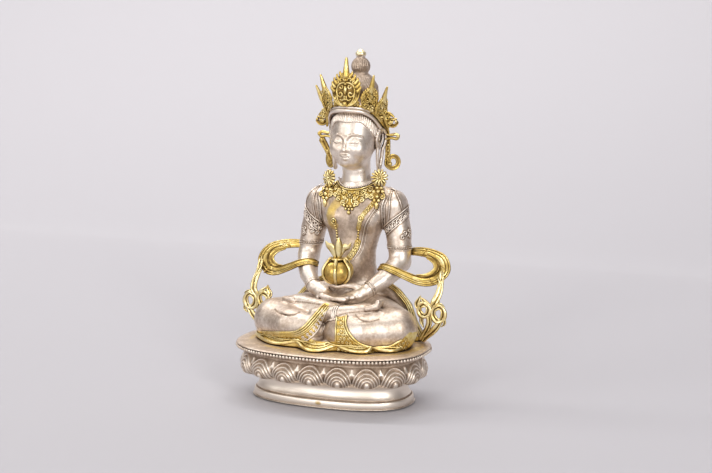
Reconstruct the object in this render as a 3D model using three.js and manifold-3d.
// A seated, crowned bodhisattva on a lotus plinth: a small silvered casting with gilt ornament.
// Millimetres, +Z up. The figure faces -Y and its left hand is at +X. The origin is the middle of the
// underside. Six castings: plinth, figure, crown, treasure vase and the two scarf ends.
import * as THREE from "three";
import { mergeVertices } from "three/addons/utils/BufferGeometryUtils.js";
import Module from "manifold-3d";

const wasm = await Module();
wasm.setup();

// Driving dimensions
const GAP = 0.3; // clearance between castings that touch
const PLINTH = {
  centre: [-1.4, -3.2],
  halfWidth: 60.2,
  halfDepth: 40.2,
  top: 34,
  squareness: 2.5,
  petals: 18,
};
const TORSO_Y = 28; // the torso stands towards the back of the plinth
const SEAT = PLINTH.top + GAP;
const HEAD = { y: 30.5, z: 159.5, halfWidth: 15.6, halfDepth: 17, halfHeight: 18.6 };
const KNOT = { y: 38.5, base: 174, top: 210 };
const CROWN_TILT = THREE.MathUtils.degToRad(27);

const SILVER = { color: 0xb9b0a6, metalness: 1, roughness: 0.36 };
const GILT = { color: 0xc9a13a, metalness: 1, roughness: 0.3 };

// Small helpers for implicit forms. A field is negative inside the metal.
const { hypot, abs, min, max, sin, cos, sign, PI, sqrt } = Math;
const clamp = (v, lo, hi) => min(max(v, lo), hi);
const mix = (a, b, t) => a + (b - a) * t;

function blend(a, b, soft) {
  const h = max(soft - abs(a - b), 0) / soft;
  return min(a, b) - (h * h * soft) / 4;
}

// A chain of tapered capsules; each joint is [x, y, z, radius].
function limb(joints, x, y, z) {
  let nearest = Infinity;
  for (let i = 1; i < joints.length; i++) {
    const [ax, ay, az, ar] = joints[i - 1];
    const [bx, by, bz, br] = joints[i];
    const [dx, dy, dz] = [bx - ax, by - ay, bz - az];
    const along = ((x - ax) * dx + (y - ay) * dy + (z - az) * dz) / (dx * dx + dy * dy + dz * dz);
    const t = clamp(along, 0, 1);
    nearest = min(nearest, hypot(x - ax - dx * t, y - ay - dy * t, z - az - dz * t) - mix(ar, br, t));
  }
  return nearest;
}

function egg([cx, cy, cz], [rx, ry, rz], x, y, z) {
  const k0 = hypot((x - cx) / rx, (y - cy) / ry, (z - cz) / rz);
  const k1 = hypot((x - cx) / rx ** 2, (y - cy) / ry ** 2, (z - cz) / rz ** 2);
  return k1 < 1e-9 ? -min(rx, ry, rz) : (k0 * (k0 - 1)) / k1;
}

// A column of elliptical sections; each station is [z, centreY, halfWidth, halfDepth].
function column(stations, x, y, z) {
  const last = stations.length - 1;
  const zc = clamp(z, stations[0][0], stations[last][0]);
  let i = 1;
  while (i < last && stations[i][0] < zc) i++;
  const [za, ya, wa, da] = stations[i - 1];
  const [zb, yb, wb, db] = stations[i];
  const t = (zc - za) / (zb - za);
  const [yc, w, d] = [mix(ya, yb, t), mix(wa, wb, t), mix(da, db, t)];
  const side = (hypot(x / w, (y - yc) / d) - 1) * min(w, d);
  return max(side, z - stations[last][0], stations[0][0] - z);
}

// Grid stations from start, each run going on to its end in steps of about its own size.
function gridLine(start, ...runs) {
  const line = [start];
  for (const [end, step] of runs) {
    const from = line[line.length - 1];
    const count = Math.ceil((end - from) / step - 1e-9);
    for (let i = 1; i <= count; i++) line.push(mix(from, end, i / count));
  }
  return line;
}

const bothSides = (line) => [...line.slice(1).map((v) => -v).reverse(), ...line];

// The twelve edges of a grid cell, between corners numbered by their x, y and z bits.
const CELL_EDGES = [1, 2, 4].flatMap((bit) =>
  [0, 1, 2, 3, 4, 5, 6, 7].flatMap((n) => (n & bit ? [] : [[n, n | bit]])),
);

// Meshes the zero surface of a field: each patch of it in a cell gets one point, pulled onto the surface.
function surfaceOf(field, xs, ys, zs, triangles) {
  const [nx, ny, nz] = [xs.length, ys.length, zs.length];
  const at = (i, j, k) => (k * ny + j) * nx + i;
  const value = new Float32Array(nx * ny * nz);
  for (let k = 0; k < nz; k++)
    for (let j = 0; j < ny; j++) for (let i = 0; i < nx; i++) value[at(i, j, k)] = field(xs[i], ys[j], zs[k]);
  const slope = ([x, y, z], e = 0.05) => [
    (field(x + e, y, z) - field(x - e, y, z)) / (2 * e),
    (field(x, y + e, z) - field(x, y - e, z)) / (2 * e),
    (field(x, y, z + e) - field(x, y, z - e)) / (2 * e),
  ];
  const points = [];
  const pointOf = new Int32Array(nx * ny * nz * 8).fill(-1);

  const addPoints = (i, j, k) => {
    const place = (n) => [i + (n & 1), j + ((n >> 1) & 1), k + (n >> 2)];
    const values = Array.from({ length: 8 }, (_, n) => value[at(...place(n))]);
    const group = values.map((_, n) => n); // corners inside the metal and joined along the cell's edges
    for (const [a, b] of CELL_EDGES) {
      const [kept, joined] = [group[a], group[b]];
      if (values[a] < 0 && values[b] < 0) group.forEach((g, n) => g === joined && (group[n] = kept));
    }
    for (const g of new Set(group.filter((_, n) => values[n] < 0))) {
      const cuts = CELL_EDGES.filter(([a, b]) => values[a] < 0 !== values[b] < 0).filter(
        ([a, b]) => group[values[a] < 0 ? a : b] === g,
      );
      if (!cuts.length) continue;
      const low = [xs[i], ys[j], zs[k]];
      const high = [xs[i + 1], ys[j + 1], zs[k + 1]];
      let p = [0, 1, 2].map((axis) => {
        const along = cuts.map(([a, b]) => {
          const [ia, ib] = [(a >> axis) & 1, (b >> axis) & 1];
          return mix(ia, ib, values[a] / (values[a] - values[b]));
        });
        return mix(low[axis], high[axis], along.reduce((sum, v) => sum + v) / along.length);
      });
      for (let step = 0; step < 3; step++) {
        const d = slope(p);
        const pull = field(...p) / max(d[0] ** 2 + d[1] ** 2 + d[2] ** 2, 0.1);
        p = p.map((c, a) => clamp(c - pull * d[a], mix(low[a], high[a], 0.06), mix(low[a], high[a], 0.94)));
      }
      group.forEach((other, n) => other === g && (pointOf[at(i, j, k) * 8 + n] = points.length));
      points.push(p);
    }
  };
  for (let k = 0; k < nz - 1; k++)
    for (let j = 0; j < ny - 1; j++) for (let i = 0; i < nx - 1; i++) addPoints(i, j, k);

  const faces = [];
  for (let k = 1; k < nz - 1; k++)
    for (let j = 1; j < ny - 1; j++)
      for (let i = 1; i < nx - 1; i++)
        for (let axis = 0; axis < 3; axis++) {
          const [u, v] = [(axis + 1) % 3, (axis + 2) % 3];
          const start = [i, j, k];
          const end = start.map((n, a) => n + (a === axis));
          const inside = value[at(...start)] < 0;
          if (inside === value[at(...end)] < 0) continue;
          const metal = inside ? start : end;
          const around = [[-1, -1], [0, -1], [0, 0], [-1, 0]].map(([du, dv]) => {
            const cell = [...start];
            cell[u] += du;
            cell[v] += dv;
            const bits = metal.map((n, a) => (n - cell[a]) << a);
            return pointOf[at(...cell) * 8 + bits[0] + bits[1] + bits[2]];
          });
          const [a, b, c, d] = inside ? around : around.reverse();
          faces.push(a, b, c, a, c, d);
        }
  return thinned(points, largestBody(points.length, faces), triangles);
}

// Leaves out the specks that a coarse grid can make of a thin edge.
function largestBody(count, faces) {
  const parent = Array.from({ length: count }, (_, i) => i);
  const root = (i) => {
    while (parent[i] !== i) i = parent[i] = parent[parent[i]];
    return i;
  };
  for (let f = 0; f < faces.length; f += 3)
    for (const other of [faces[f + 1], faces[f + 2]]) parent[root(other)] = root(faces[f]);
  const tally = new Map();
  for (let f = 0; f < faces.length; f += 3) tally.set(root(faces[f]), (tally.get(root(faces[f])) ?? 0) + 1);
  const best = [...tally].sort((a, b) => b[1] - a[1])[0][0];
  return faces.filter((_, n) => root(faces[n - (n % 3)]) === best);
}

// Takes triangles out of a closed mesh where it is flattest, down to a number of them.
function thinned(points, faces, target) {
  const p = points.map((q) => [...q]);
  let triangles = Array.from({ length: faces.length / 3 }, (_, n) => faces.slice(3 * n, 3 * n + 3));
  const plane = ([a, b, c]) => {
    const [u, v] = [b, c].map((n) => p[n].map((value, axis) => value - p[a][axis]));
    const n = [u[1] * v[2] - u[2] * v[1], u[2] * v[0] - u[0] * v[2], u[0] * v[1] - u[1] * v[0]];
    const area = hypot(...n) || 1e-9;
    const unit = n.map((value) => value / area);
    return [...unit, -unit[0] * p[a][0] - unit[1] * p[a][1] - unit[2] * p[a][2], area / 2];
  };
  // Each vertex carries the weighted squares of its distance to the planes that met at it.
  const quadric = p.map(() => new Float64Array(10));
  const addTo = (q, [a, b, c, d, w]) =>
    [a * a, a * b, a * c, a * d, b * b, b * c, b * d, c * c, c * d, d * d].forEach((v, n) => (q[n] += v * w));
  for (const t of triangles) for (const n of t) addTo(quadric[n], plane(t));
  const cost = (q, [x, y, z]) =>
    q[0] * x * x + 2 * q[1] * x * y + 2 * q[2] * x * z + 2 * q[3] * x + q[4] * y * y +
    2 * q[5] * y * z + 2 * q[6] * y + q[7] * z * z + 2 * q[8] * z + q[9];
  while (triangles.length > target) {
    const fan = p.map(() => []);
    triangles.forEach((t) => t.forEach((n) => fan[n].push(t)));
    const ring = (n) => new Set(fan[n].flat().filter((m) => m !== n));
    const edges = [];
    for (const t of triangles)
      for (let e = 0; e < 3; e++) {
        const [a, b] = [t[e], t[(e + 1) % 3]];
        if (a > b) continue;
        const q = quadric[a].map((v, n) => v + quadric[b][n]);
        const middle = p[a].map((v, axis) => (v + p[b][axis]) / 2);
        const [best] = [p[a], p[b], middle].map((spot) => [cost(q, spot), spot]).sort((m, n) => m[0] - n[0]);
        const length = hypot(...p[a].map((v, axis) => v - p[b][axis]));
        edges.push([best[0] + 1e-3 * length, a, b, best[1], q]);
      }
    edges.sort((m, n) => m[0] - n[0]);
    const busy = new Set();
    const gone = new Set();
    const quota = max(2, (triangles.length - target) / 2);
    for (const [, a, b, spot, q] of edges) {
      if (gone.size >= quota) break;
      const [ra, rb] = [ring(a), ring(b)];
      const near = new Set([...ra, ...rb]);
      if ([...near].some((n) => busy.has(n)) || [...ra].filter((n) => rb.has(n)).length !== 2) continue;
      const kept = [...fan[a], ...fan[b]].filter((t) => !(t.includes(a) && t.includes(b)));
      const before = kept.map(plane);
      const [oldA, oldB] = [p[a], p[b]];
      p[a] = p[b] = [...spot];
      const turned = kept.map(plane).some((n, i) => {
        const facing = n[0] * before[i][0] + n[1] * before[i][1] + n[2] * before[i][2];
        return facing < 0.35 || n[4] < 0.02;
      });
      if (turned) {
        [p[a], p[b]] = [oldA, oldB];
        continue;
      }
      for (const t of fan[b]) t.includes(a) ? gone.add(t) : t.splice(t.indexOf(b), 1, a);
      quadric[a] = q;
      for (const n of near) busy.add(n);
    }
    if (!gone.size) break;
    triangles = triangles.filter((t) => !gone.has(t));
  }
  const used = [...new Set(triangles.flat())];
  const renumber = new Map(used.map((n, i) => [n, i]));
  return indexed(used.flatMap((n) => p[n]), triangles.flat().map((n) => renumber.get(n)));
}

// Solids
function indexed(positions, faces) {
  const geometry = new THREE.BufferGeometry();
  geometry.setAttribute("position", new THREE.Float32BufferAttribute(positions, 3));
  geometry.setIndex(faces);
  return geometry;
}

function solid(geometry) {
  const bare = geometry.clone();
  for (const name of Object.keys(bare.attributes)) if (name !== "position") bare.deleteAttribute(name);
  const merged = mergeVertices(bare, 1e-3);
  return new wasm.Manifold(
    new wasm.Mesh({
      numProp: 3,
      vertProperties: merged.attributes.position.array,
      triVerts: new Uint32Array(merged.index.array),
    }),
  );
}

const join = (...solids) => solids.reduce((whole, part) => whole.add(part));

function geometryOf(whole, triangles = Infinity) {
  const { vertProperties, triVerts } = whole.getMesh();
  const points = Array.from({ length: vertProperties.length / 3 }, (_, n) => [
    ...vertProperties.slice(3 * n, 3 * n + 3),
  ]);
  return thinned(points, Array.from(triVerts), triangles);
}

function cast(name, geometry, finish) {
  geometry.computeVertexNormals();
  const mesh = new THREE.Mesh(geometry, new THREE.MeshStandardMaterial({ ...finish, flatShading: true }));
  mesh.name = name;
  return mesh;
}

// Skins rows of points into a closed solid. Each row is a loop, seen anticlockwise from the next row.
function skin(rows, ringShaped = false) {
  const around = rows[0].length;
  const positions = rows.flat(2);
  const faces = [];
  const spans = ringShaped ? rows.length : rows.length - 1;
  for (let r = 0; r < spans; r++)
    for (let i = 0; i < around; i++) {
      const [a, b] = [r * around + i, r * around + ((i + 1) % around)];
      const up = ((r + 1) % rows.length) * around;
      const [c, d] = [up + ((i + 1) % around), up + i];
      faces.push(a, b, c, a, c, d);
    }
  if (!ringShaped)
    for (const [row, flip] of [
      [0, true],
      [rows.length - 1, false],
    ]) {
      const hub = positions.length / 3;
      const centre = [0, 1, 2].map((axis) => rows[row].reduce((s, p) => s + p[axis], 0) / around);
      positions.push(...centre);
      for (let i = 0; i < around; i++) {
        const [a, b] = [row * around + i, row * around + ((i + 1) % around)];
        flip ? faces.push(hub, b, a) : faces.push(hub, a, b);
      }
    }
  const made = solid(indexed(positions, faces));
  return made.volume() > 0 ? made : solid(indexed(positions, faces.reverse()));
}

// Adds stops between those given, on a smooth curve through them.
function smooth(stops, parts) {
  const at = (i) => stops[clamp(i, 0, stops.length - 1)];
  const spline = (p, q, r, s, t) =>
    q + 0.5 * t * (r - p + t * (2 * p - 5 * q + 4 * r - s + t * (3 * (q - r) + s - p)));
  return stops.flatMap((stop, i) =>
    i === stops.length - 1
      ? [stop]
      : Array.from({ length: parts }, (_, n) =>
          stop.map((value, c) =>
            Array.isArray(value)
              ? value.map((v, axis) => mix(v, at(i + 1)[c][axis], n / parts))
              : spline(at(i - 1)[c], value, at(i + 1)[c], at(i + 2)[c], n / parts),
          ),
        ),
  );
}

// Sweeps a flat oval bar along a path. Each stop is [x, y, z, width, thickness, [face normal]].
function strap(stops, sides = 8) {
  const rows = stops.map(([x, y, z, width, thickness, facing], i) => {
    const here = new THREE.Vector3(x, y, z);
    const before = new THREE.Vector3(...stops[max(i - 1, 0)].slice(0, 3));
    const after = new THREE.Vector3(...stops[min(i + 1, stops.length - 1)].slice(0, 3));
    const along = after.sub(before).normalize();
    const across = along.clone().cross(new THREE.Vector3(...facing)).normalize();
    const out = across.clone().cross(along).normalize();
    return Array.from({ length: sides }, (_, s) => {
      const turn = (2 * PI * (s + 0.5)) / sides;
      const p = here.clone();
      p.addScaledVector(across, (cos(turn) * width) / 2);
      p.addScaledVector(out, (sin(turn) * thickness) / 2);
      return p.toArray();
    });
  });
  return skin(rows.map((row) => row.reverse()));
}

// Plinth: a moulded foot, a drum of lotus petals and a slab with a rolled rim
function planPoint(turn, inset, z) {
  const { centre, halfWidth, halfDepth, squareness } = PLINTH;
  const [c, s] = [cos(turn), sin(turn)];
  const x = (halfWidth - inset) * sign(c) * abs(c) ** (2 / squareness);
  const y = (halfDepth - 1.25 * inset) * sign(s) * abs(s) ** (2 / squareness);
  return [centre[0] + x, centre[1] + y, z];
}

// Turns spaced evenly along the plan's outline, the first at the front.
function evenTurns(count) {
  const fine = 3600;
  const lengths = [0];
  const angle = (i) => -PI / 2 + (2 * PI * i) / fine;
  for (let i = 1; i <= fine; i++) {
    const [a, b] = [planPoint(angle(i - 1), 0, 0), planPoint(angle(i), 0, 0)];
    lengths.push(lengths[i - 1] + hypot(b[0] - a[0], b[1] - a[1]));
  }
  let i = 0;
  return Array.from({ length: count }, (_, n) => {
    while (lengths[i] < (n / count) * lengths[fine]) i++;
    return angle(i);
  });
}

// [inset from the slab's edge, height] of each moulding
const FOOT_PROFILE = [
  [11, 0],
  [10.2, 1.2],
  [10.2, 4],
  [11.8, 5.6],
  [13.2, 9],
  [12.6, 13.5],
  [10, 16.2],
];
const SLAB_PROFILE = [
  [3.4, 27.5],
  [3.4, 29.6],
  [1.7, 30.4],
  [1.3, 31.6],
  [0.3, 32.3],
  [0, 33.2],
  [0.5, PLINTH.top],
];

function moulding(profile, count) {
  const turns = evenTurns(count);
  return skin(profile.map(([inset, z]) => turns.map((turn) => planPoint(turn, inset, z))));
}

// The petals point down: each bellies out and ends in a rounded tip below.
function petalDrum() {
  const perPetal = 6;
  const turns = evenTurns(PLINTH.petals * perPetal);
  const rows = [15.4, 17.2, 20, 24, 28.4].map((z) => {
    const rise = (z - 15.4) / 13;
    return turns.map((turn, i) => {
      const offset = abs(((i / perPetal + 0.5) % 1) - 0.5) * 2; // 0 at a petal's middle, 1 between two
      const reach = 0.35 + 0.75 * sqrt(max(rise, 0));
      const arch = sqrt(max(0, 1 - (offset / reach) ** 2));
      const belly = sin(PI * clamp(rise * 0.85 + 0.16, 0, 1));
      const inset = 5.2 - 4.4 * belly * (0.35 + 0.65 * arch) + 2.2 * (1 - rise) * offset;
      return planPoint(turn, inset, z);
    });
  });
  return skin(rows);
}

function plinth() {
  const whole = join(moulding(FOOT_PROFILE, 40), petalDrum(), moulding(SLAB_PROFILE, 46));
  return cast("lotus_plinth", geometryOf(whole, 2100), SILVER);
}

// Figure
const TORSO = [
  [30, 23, 25, 13.4],
  [46, 23.6, 24, 13.2],
  [58, 26, 20, 12.4],
  [68, 27.5, 16.2, 11.6],
  [78, TORSO_Y, 13.9, 10.6],
  [86, TORSO_Y, 13.9, 10.6],
  [94, 27.5, 16, 12],
  [103, 27, 19.4, 13.4],
  [111, 27, 21.6, 13.8],
  [118, 28, 22, 12.6],
  [124, 29.5, 17.5, 10.6],
  [128, 31, 11, 9.4],
  [132, 31.5, 8.9, 8.7],
  [146, 31, 8.7, 8.6],
];
const SHOULDER = [
  [10, 31, 127, 5.5],
  [23.2, 32, 115.2, 9.6],
];
const UPPER_ARM = [
  [24, 31.8, 114, 9.2],
  [28.5, 30.2, 98, 8],
  [30.8, 27.5, 81, 6.8],
];
const FOREARM = [
  [30.6, 26.5, 80.5, 6.8],
  [26.6, 15.5, 72.6, 6],
  [17.4, 5, 65.4, 4.1],
];
const THUMB = [
  [14.5, 5, 66, 2.2],
  [8, 3, 67.6, 1.9],
  [1, 1.2, 67.4, 1.7],
];
const THIGH = [
  [14, 24, 47, 13.5],
  [28, 9, 46.5, 13],
  [40, -3.5, 45.4, 12.4],
];
const SHIN = [
  [39, -5.5, 45, 12],
  [24, -15, 44.5, 11.4],
  [10, -19, 44, 10],
];
const NEAR_FOOT = [
  [-6, -18.5, 53, 4.8],
  [5, -17.5, 55, 4.4],
  [17, -14, 56.6, 4],
  [26, -10.5, 57.8, 3.4],
  [32, -7.5, 58.6, 2.3],
];
const FAR_FOOT = [
  [4, -14, 56, 4.6],
  [-8, -10.5, 57.4, 4],
  [-20, -6, 58.4, 3.6],
  [-32, -2, 58.2, 2.3],
];
const BREAST = [9.4, 18.4, 107];
const ROBE_EDGE = [
  [19, 29, 67, 2.6],
  [29, 28, 61.5, 2.6],
  [36.5, 27, 53.5, 2.6],
  [41.5, 23.4, 44, 2.6],
  [47.4, 19.8, 36.4, 2.8],
];

// Both palms lie up in the lap, the right hand on the left; each finger is one bar.
function handsField(x, y, z) {
  let d = Infinity;
  for (const side of [-1, 1]) {
    const drop = side > 0 ? 1.6 : 0; // the left hand is below
    const palm = [
      [side * 15.5, 4, 64.6 - drop, 4],
      [side * 8, 0, 62.6 - drop, 4.2],
    ];
    d = blend(d, limb(palm, x, y, z), 2);
    for (let finger = 0; finger < 4; finger++) {
      const lead = finger * 2.7;
      const bar = [
        [side * 8, 1 - lead, 62.4 - drop, 1.9],
        [side * -2, -1 - lead, 61 - drop, 1.7],
        [side * -10, 0.4 - lead * 0.8, 61.6 - drop, 1.4],
      ];
      d = blend(d, limb(bar, x, y, z), 1);
    }
  }
  return blend(d, limb(THUMB, abs(x), y, z), 1.5);
}

function legsField(x, y, z) {
  const ax = abs(x);
  let d = blend(limb(THIGH, ax, y, z), egg([0, 4, 42], [30, 22, 14.5], x, y, z), 3); // the robe fills the lap
  d = blend(d, limb(SHIN, ax, y, z), 4);
  d = blend(d, limb(NEAR_FOOT, x, y, z), 2);
  d = blend(d, limb(FAR_FOOT, x, y, z), 2);
  return d;
}

// The robe flares from the hips behind the thighs and runs out over the slab in a waved hem.
function robeField(x, y, z) {
  const ax = abs(x);
  const rise = clamp((z - SEAT) / 32, 0, 1);
  const spread = mix(47.5, 22, rise ** 0.55);
  const cloak = max(ax - spread, abs(y - mix(19.8, 27.5, rise)) - 5, z - 65);
  const turn = Math.atan2(y + 2, x);
  const wave = 1 + 0.035 * cos(7 * turn + PI / 2) + 0.02 * sin(13 * turn);
  const reach = hypot(abs(x / 52) ** 1.25, abs((y + 2) / 32) ** 1.25) ** 0.8 / wave;
  const hem = max((reach - 1) * 30, z - SEAT - 2.6 + 1.1 * reach);
  return blend(blend(cloak, limb(ROBE_EDGE, ax, y, z), 3), hem, 2.5);
}

function headField(x, y, z) {
  const ax = abs(x);
  const { y: cy, z: cz, halfWidth, halfDepth, halfHeight } = HEAD;
  let d = egg([0, cy, cz], [halfWidth, halfDepth, halfHeight], x, y, z);
  d = blend(d, egg([0, cy - 5, cz - 9], [12.6, 12.6, 12.4], x, y, z), 5); // the face below the cheekbones
  const nose = [
    [0, 14, 159, 1.2],
    [0, 11.2, 152.4, 1.9],
  ];
  d = blend(d, limb(nose, x, y, z), 2);
  const ear = [
    [15.8, 33, 161, 2.6],
    [15.4, 32.4, 151, 2.2],
    [14.6, 31.6, 139, 2.2],
  ];
  d = blend(d, limb(ear, ax, y, z), 1);
  const [c, s] = [cos(CROWN_TILT), sin(CROWN_TILT)];
  const up = (y - 31.6) * s + (z - 165) * c; // height above the fillet's tilted plane
  const forward = (y - 31.6) * c - (z - 165) * s;
  const fillet = (hypot(x / 17.1, forward / 17.9) - 1) * 17.1;
  d = blend(d, hypot(fillet, up) - 1.8, 4);
  return d;
}

const KNOT_PROFILE = [
  [KNOT.base, KNOT.y, 10.5, 10.5],
  [180, KNOT.y, 10.8, 10.8],
  [187, KNOT.y, 10.9, 10.9],
  [191.5, KNOT.y, 8.6, 8.6],
  [195, KNOT.y, 5.2, 5.2],
  [197.5, KNOT.y, 5.6, 5.6],
  [200.5, KNOT.y, 5.7, 5.7],
  [203.5, KNOT.y, 4.2, 4.2],
  [205.2, KNOT.y, 2.7, 2.7],
  [206.4, KNOT.y, 3.5, 3.5],
  [208.4, KNOT.y, 3, 3],
  [KNOT.top + 0.6, KNOT.y, 1.2, 1.2],
];

function jewelleryField(x, y, z) {
  const ax = abs(x);
  const pendant = [
    [16.4, 25, 127, 2.6],
    [16.6, 20.5, 122, 3],
    [16.4, 16.4, 117.5, 1.9],
  ];
  const collar = [
    [12, 24, 127.5, 2],
    [9, 18, 123.5, 2.8],
    [0, 13.6, 119, 3.2],
  ];
  const sash = [
    [15, 16.5, 117, 1.6],
    [10, 12.4, 104, 1.8],
    [3, 15.6, 90, 1.8],
    [-1, 17, 80, 1.7],
  ];
  const drop = limb([[0, 12.4, 116, 2.2], [0, 12, 112.6, 1.5]], x, y, z);
  const rosetteFace = abs((ax - 16.8) * 0.5 - (y - 27.4) * 0.86) - 1.5;
  const rosette = max(hypot(ax - 16.8, y - 27.4, z - 131.6) - 5, rosetteFace);
  return min(limb(pendant, ax, y, z), blend(limb(collar, ax, y, z), drop, 1), limb(sash, x, y, z), rosette);
}

function figureField(x, y, z) {
  const ax = abs(x);
  let d = column(TORSO, x, y, z);
  d = blend(d, limb(SHOULDER, ax, y, z), 5);
  d = blend(d, egg(BREAST, [8.6, 7.4, 7], ax, y, z), 3);
  d = blend(d, blend(limb(UPPER_ARM, ax, y, z), limb(FOREARM, ax, y, z), 2), 1.2);
  d = blend(d, headField(x, y, z), 3);
  d = blend(d, column(KNOT_PROFILE, x, y, z), 1);
  d = min(d, jewelleryField(x, y, z));
  d = blend(d, blend(legsField(x, y, z), robeField(x, y, z), 2.5), 2.5);
  d = blend(d, handsField(x, y, z), 1);
  return max(d, SEAT - z);
}

const HALF_GRID = gridLine(0, [24, 2.4], [60, 3.2]);
const figure = solid(
  surfaceOf(
    figureField,
    bothSides(HALF_GRID),
    gridLine(-40, [24, 2.8], [53, 3.4]),
    gridLine(29, [70, 2.8], [126, 3.6], [213, 2.6]),
    4900,
  ),
);

// Thins another casting, then moves its points that would touch the figure out to a clearance from it.
function besideFigure(whole, triangles, margin = 0.3) {
  const geometry = geometryOf(whole, triangles);
  const spots = geometry.attributes.position;
  for (let n = 0; n < spots.count; n++) {
    let p = [spots.getX(n), spots.getY(n), spots.getZ(n)];
    for (let step = 0; step < 12; step++) {
      const short = GAP + margin - figureField(...p);
      if (short <= 0) break;
      const rise = [0, 1, 2].map((axis) => {
        const [hi, lo] = [0.1, -0.1].map((e) => figureField(...p.map((v, a) => (a === axis ? v + e : v))));
        return (hi - lo) / 0.2;
      });
      const steep = max(hypot(...rise), 0.3);
      p = p.map((v, axis) => v + (rise[axis] / steep ** 2) * (short + 0.02));
    }
    spots.setXYZ(n, ...p);
  }
  return geometryOf(solid(geometry).subtract(figure));
}

// Crown: a tilted band with five flame-shaped leaves, and ribbons that curl behind the ears
const CROWN_CENTRE = new THREE.Vector3(0, 31.8, 166.8);
const CROWN_RING = { halfWidth: 18, halfDepth: 18.4 };

// The point of the crown's ring at an angle from the front, raised along the ring's axis.
function ringPoint(turn, raise = 0, grow = 0) {
  const [c, s] = [cos(CROWN_TILT), sin(CROWN_TILT)];
  const x = (CROWN_RING.halfWidth + grow) * sin(turn);
  const forward = (CROWN_RING.halfDepth + grow) * cos(turn);
  return new THREE.Vector3(x, -forward * c + raise * s, forward * s + raise * c).add(CROWN_CENTRE);
}

function crownBand() {
  const count = 32;
  const section = [
    [0.2, -0.6],
    [1.8, -0.6],
    [1.8, 2.6],
    [0.2, 2.6],
  ];
  const rows = Array.from({ length: count }, (_, i) => {
    const turn = (2 * PI * i) / count;
    return section.map(([grow, raise]) => ringPoint(turn, raise, grow).toArray());
  });
  return skin(rows, true);
}

// A leaf's front outline: a narrow stem, a round body with small flames and a shoulder under the spike.
function leafOutline(width, height) {
  const shape = new THREE.Shape();
  const w = width / 2;
  const right = [
    [0.34 * w, 0],
    [0.82 * w, 0.16 * height],
    [1.0 * w, 0.36 * height],
    [1.14 * w, 0.56 * height],
    [0.86 * w, 0.62 * height],
    [0.84 * w, 0.78 * height],
    [0.56 * w, 0.78 * height],
    [0.42 * w, 0.96 * height],
  ];
  shape.moveTo(...right[0]);
  for (const p of right.slice(1)) shape.lineTo(...p);
  for (const [x, y] of right.slice().reverse()) shape.lineTo(-x, y);
  return shape;
}

function crownLeaf(turn, { width, height, spike, lean }) {
  const thick = 2;
  const plate = new THREE.ExtrudeGeometry(leafOutline(width, height), { depth: thick, bevelEnabled: false });
  const inner = new THREE.Shape();
  inner.absellipse(0, height * 0.42, width * 0.3, height * 0.27, 0, 2 * PI);
  const boss = new THREE.ExtrudeGeometry(inner, { depth: thick + 1, bevelEnabled: false, curveSegments: 3 });
  const scroll = (side, up, r) =>
    new THREE.SphereGeometry(r, 5, 3).translate(side * width * 0.4, height * up, thick);
  const cone = new THREE.ConeGeometry(width * 0.17, spike + 3, 6);
  cone.translate(0, height + (spike - 3) / 2, thick / 2);
  const whole = join(
    solid(plate),
    solid(boss),
    solid(cone),
    ...[-1, 1].map((side) => solid(scroll(side, 0.5, 1.3))),
    solid(new THREE.SphereGeometry(1.9, 6, 3).translate(0, height * 0.06, thick)),
  );
  const base = ringPoint(turn, 1.2, 0.9);
  const outward = new THREE.Vector3(sin(turn), -cos(turn), 0);
  const upward = new THREE.Vector3(0, 0, 1).addScaledVector(outward, Math.tan(lean)).normalize();
  const across = upward.clone().cross(outward).normalize();
  const facing = across.clone().cross(upward);
  const place = new THREE.Matrix4().makeBasis(across, upward, facing);
  place.setPosition(base.addScaledVector(facing, -thick / 2));
  return whole.transform(place.elements);
}

const DEG = PI / 180;
const LEAVES = [
  [0, { width: 16.5, height: 18.5, spike: 9.5, lean: 1 * DEG }],
  [45, { width: 12.5, height: 14.5, spike: 7, lean: 9 * DEG }],
  [73, { width: 11, height: 12.5, spike: 6, lean: 14 * DEG }],
];

// The ribbon leaves the band beside the ear, sends out a stub and ends in a curl.
function crownRibbon(side) {
  const facing = [0.25 * side, -1, 0];
  const hang = [
    [18.6, 33, 168],
    [20.5, 35, 163],
    [19.8, 36.5, 156],
    [19.2, 37, 148],
    [19.2, 37, 141],
  ].map(([x, y, z]) => [side * x, y, z, 3.4, 2.4, facing]);
  const tuft = [
    [18, 33, 167, 6, 2.4],
    [22, 33.5, 165.4, 6, 2.4],
    [26.4, 34, 166.2, 2.6, 2],
  ].map(([x, y, z, w, t]) => [side * x, y, z, w, t, facing]);
  const stub = [
    [19, 36.5, 157, 2.6, 2],
    [22.8, 36, 157.2, 2.8, 2.2],
    [25.6, 35.5, 156.6, 1.6, 1.6],
  ].map(([x, y, z, w, t]) => [side * x, y, z, w, t, facing]);
  const steps = 8;
  const curl = Array.from({ length: steps }, (_, i) => {
    const turn = -0.62 * PI + (i / (steps - 1)) * 1.7 * PI;
    const reach = mix(4.6, 2.7, i / (steps - 1));
    return [side * (23.4 + reach * cos(turn)), 37, 141 + reach * sin(turn), 2.3, 2.4, [0, -1, 0]];
  });
  const foot = [
    [19.2, 37, 142.5, 3.2, 2.4],
    [19.9, 37, 138.6, 2.6, 2.4],
    [22.6, 37, 136.5, 2.3, 2.4],
  ].map(([x, y, z, w, t]) => [side * x, y, z, w, t, [0, -1, 0]]);
  return join(...[hang, tuft, stub, curl, foot].map((stops) => strap(stops, 4)));
}

function crown() {
  const leaves = LEAVES.flatMap(([degrees, form]) =>
    degrees ? [crownLeaf(degrees * DEG, form), crownLeaf(-degrees * DEG, form)] : [crownLeaf(0, form)],
  );
  const whole = join(crownBand(), ...leaves, crownRibbon(-1), crownRibbon(1));
  return cast("crown", besideFigure(whole, 1500), GILT);
}

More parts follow.
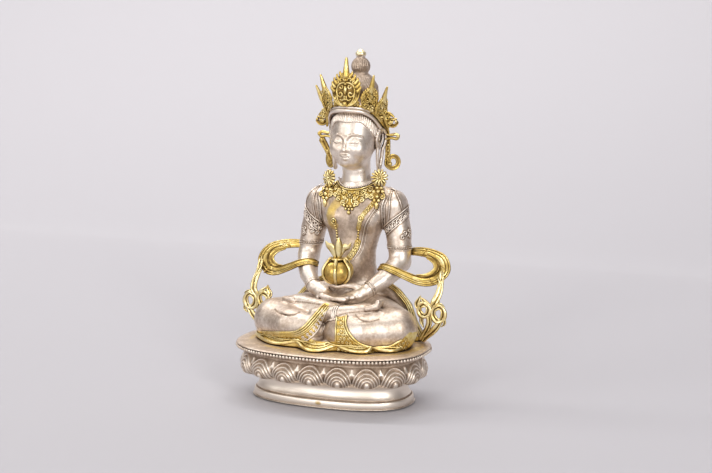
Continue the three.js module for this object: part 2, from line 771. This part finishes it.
// Treasure vase: a lobed bud on a small foot, closed by a knot of upright leaves
function vase() {
  const lobes = 6;
  const profile = [
    [3.2, 68.9],
    [4.6, 69.6],
    [7.6, 72],
    [9.2, 75.6],
    [8.8, 79],
    [7, 82.4],
    [5, 84.2],
    [3.6, 85],
    [3.6, 86.6],
  ];
  const rows = profile.map(([radius, z], row) =>
    Array.from({ length: lobes * 3 }, (_, i) => {
      const turn = (2 * PI * i) / (lobes * 3) - PI / 2;
      const ridge = row > 1 && row < 7 ? 0.5 * abs(cos((lobes * (turn + PI / 2)) / 2)) ** 6 : 0;
      return [(radius + ridge) * cos(turn), 2.5 + (radius + ridge) * sin(turn), z];
    }),
  );
  const sprig = [0, 1, 2, 3, 4].map((n) => {
    const turn = -PI / 2 + (n ? ((n - 0.5) * PI) / 2 : 0);
    const [lean, radius] = n ? [3.4, 1.6] : [0, 1.2];
    const reach = (share) => radius + lean * share;
    const at = (share) => [reach(share) * cos(turn), 2.5 + reach(share) * sin(turn) * 0.9];
    const facing = [cos(turn), sin(turn), 0];
    const tall = n ? 94.8 : 97;
    return strap(
      [
        [...at(0), 85.4, 2.2, 1.6, facing],
        [...at(0.35), mix(85.4, tall, 0.45), 3.6, 1.8, facing],
        [...at(1.25), tall, 0.4, 0.4, facing],
      ],
      6,
    );
  });
  return cast("treasure_vase", besideFigure(join(skin(rows), ...sprig), 420), GILT);
}

// Scarf: a flat band that crosses the forearm, loops out to the side and back behind the elbow,
// with a tail of two open curls that comes down to the slab
function scarf(side) {
  const facing = [0.1, -0.8, 0.6];
  const loop = [
    [20.6, 22, 79.4, 4.4],
    [24.5, 15.6, 79.6, 5.6],
    [31, 13.4, 77, 6.6],
    [40, 14, 74, 7.4],
    [49.6, 16.4, 72.2, 8],
    [57, 19.6, 74, 9],
    [59.4, 23.4, 79, 10],
    [56.6, 27.4, 84, 9],
    [49.6, 30.6, 86, 8],
    [42, 32, 86.4, 7.4],
    [35.8, 33, 86, 6.4],
  ].map(([x, y, z, w]) => [side * x, y, z, w, 2.2, [side * facing[0], facing[1], facing[2]]]);
  const flat = [0, -1, 0.1];
  const tailY = 12;
  const stem = [
    [59.8, 19, 76, 4.8, 2],
    [60, 16, 67, 4.4, 2],
    [57.2, tailY, 59, 4, 2.2],
    [56, tailY, 52, 3.6, 2.2],
    [57, tailY, 46.6, 4.8, 2.2],
    [53.4, tailY + 1, 40, 5, 2.4],
    [50.6, tailY + 2, PLINTH.top + GAP + 1.2, 4.4, 2.4],
  ].map(([x, y, z, w, t]) => [side * x, y, z, w, t, flat]);
  const ring = ([x, z, reach, bar], tip) =>
    join(
      skin(
        Array.from({ length: 10 }, (_, i) => {
          const turn = (2 * PI * i) / 10;
          return Array.from({ length: 5 }, (_, s) => {
            const around = (2 * PI * s) / 5;
            const r = reach + bar * cos(around);
            return [side * (x + r * cos(turn)), tailY + 1.3 * sin(around), z + r * sin(turn)];
          });
        }).map((row) => (side > 0 ? row : row.reverse())),
        true,
      ),
      ...(tip ? [strap(tip.map(([a, b, w]) => [side * a, tailY, b, w, 2, flat]), 6)] : []),
    );
  const curls = [
    ring([60.8, 53, 3.4, 1.7]),
    ring([52, 54.4, 2.9, 1.5], [
      [49.2, 56.4, 2.6],
      [49.4, 59.8, 1.8],
      [50.4, 62.8, 0.5],
    ]),
  ];
  const whole = join(strap(smooth(loop, 2), 6), strap(smooth(stem, 2), 5), ...curls);
  return cast(side > 0 ? "scarf_left" : "scarf_right", besideFigure(whole, 560, 0.6), GILT);
}

const statue = new THREE.Group();
statue.name = "bodhisattva_statue";
statue.add(plinth(), cast("figure", geometryOf(figure), SILVER), crown(), vase(), scarf(1), scarf(-1));

export default statue;
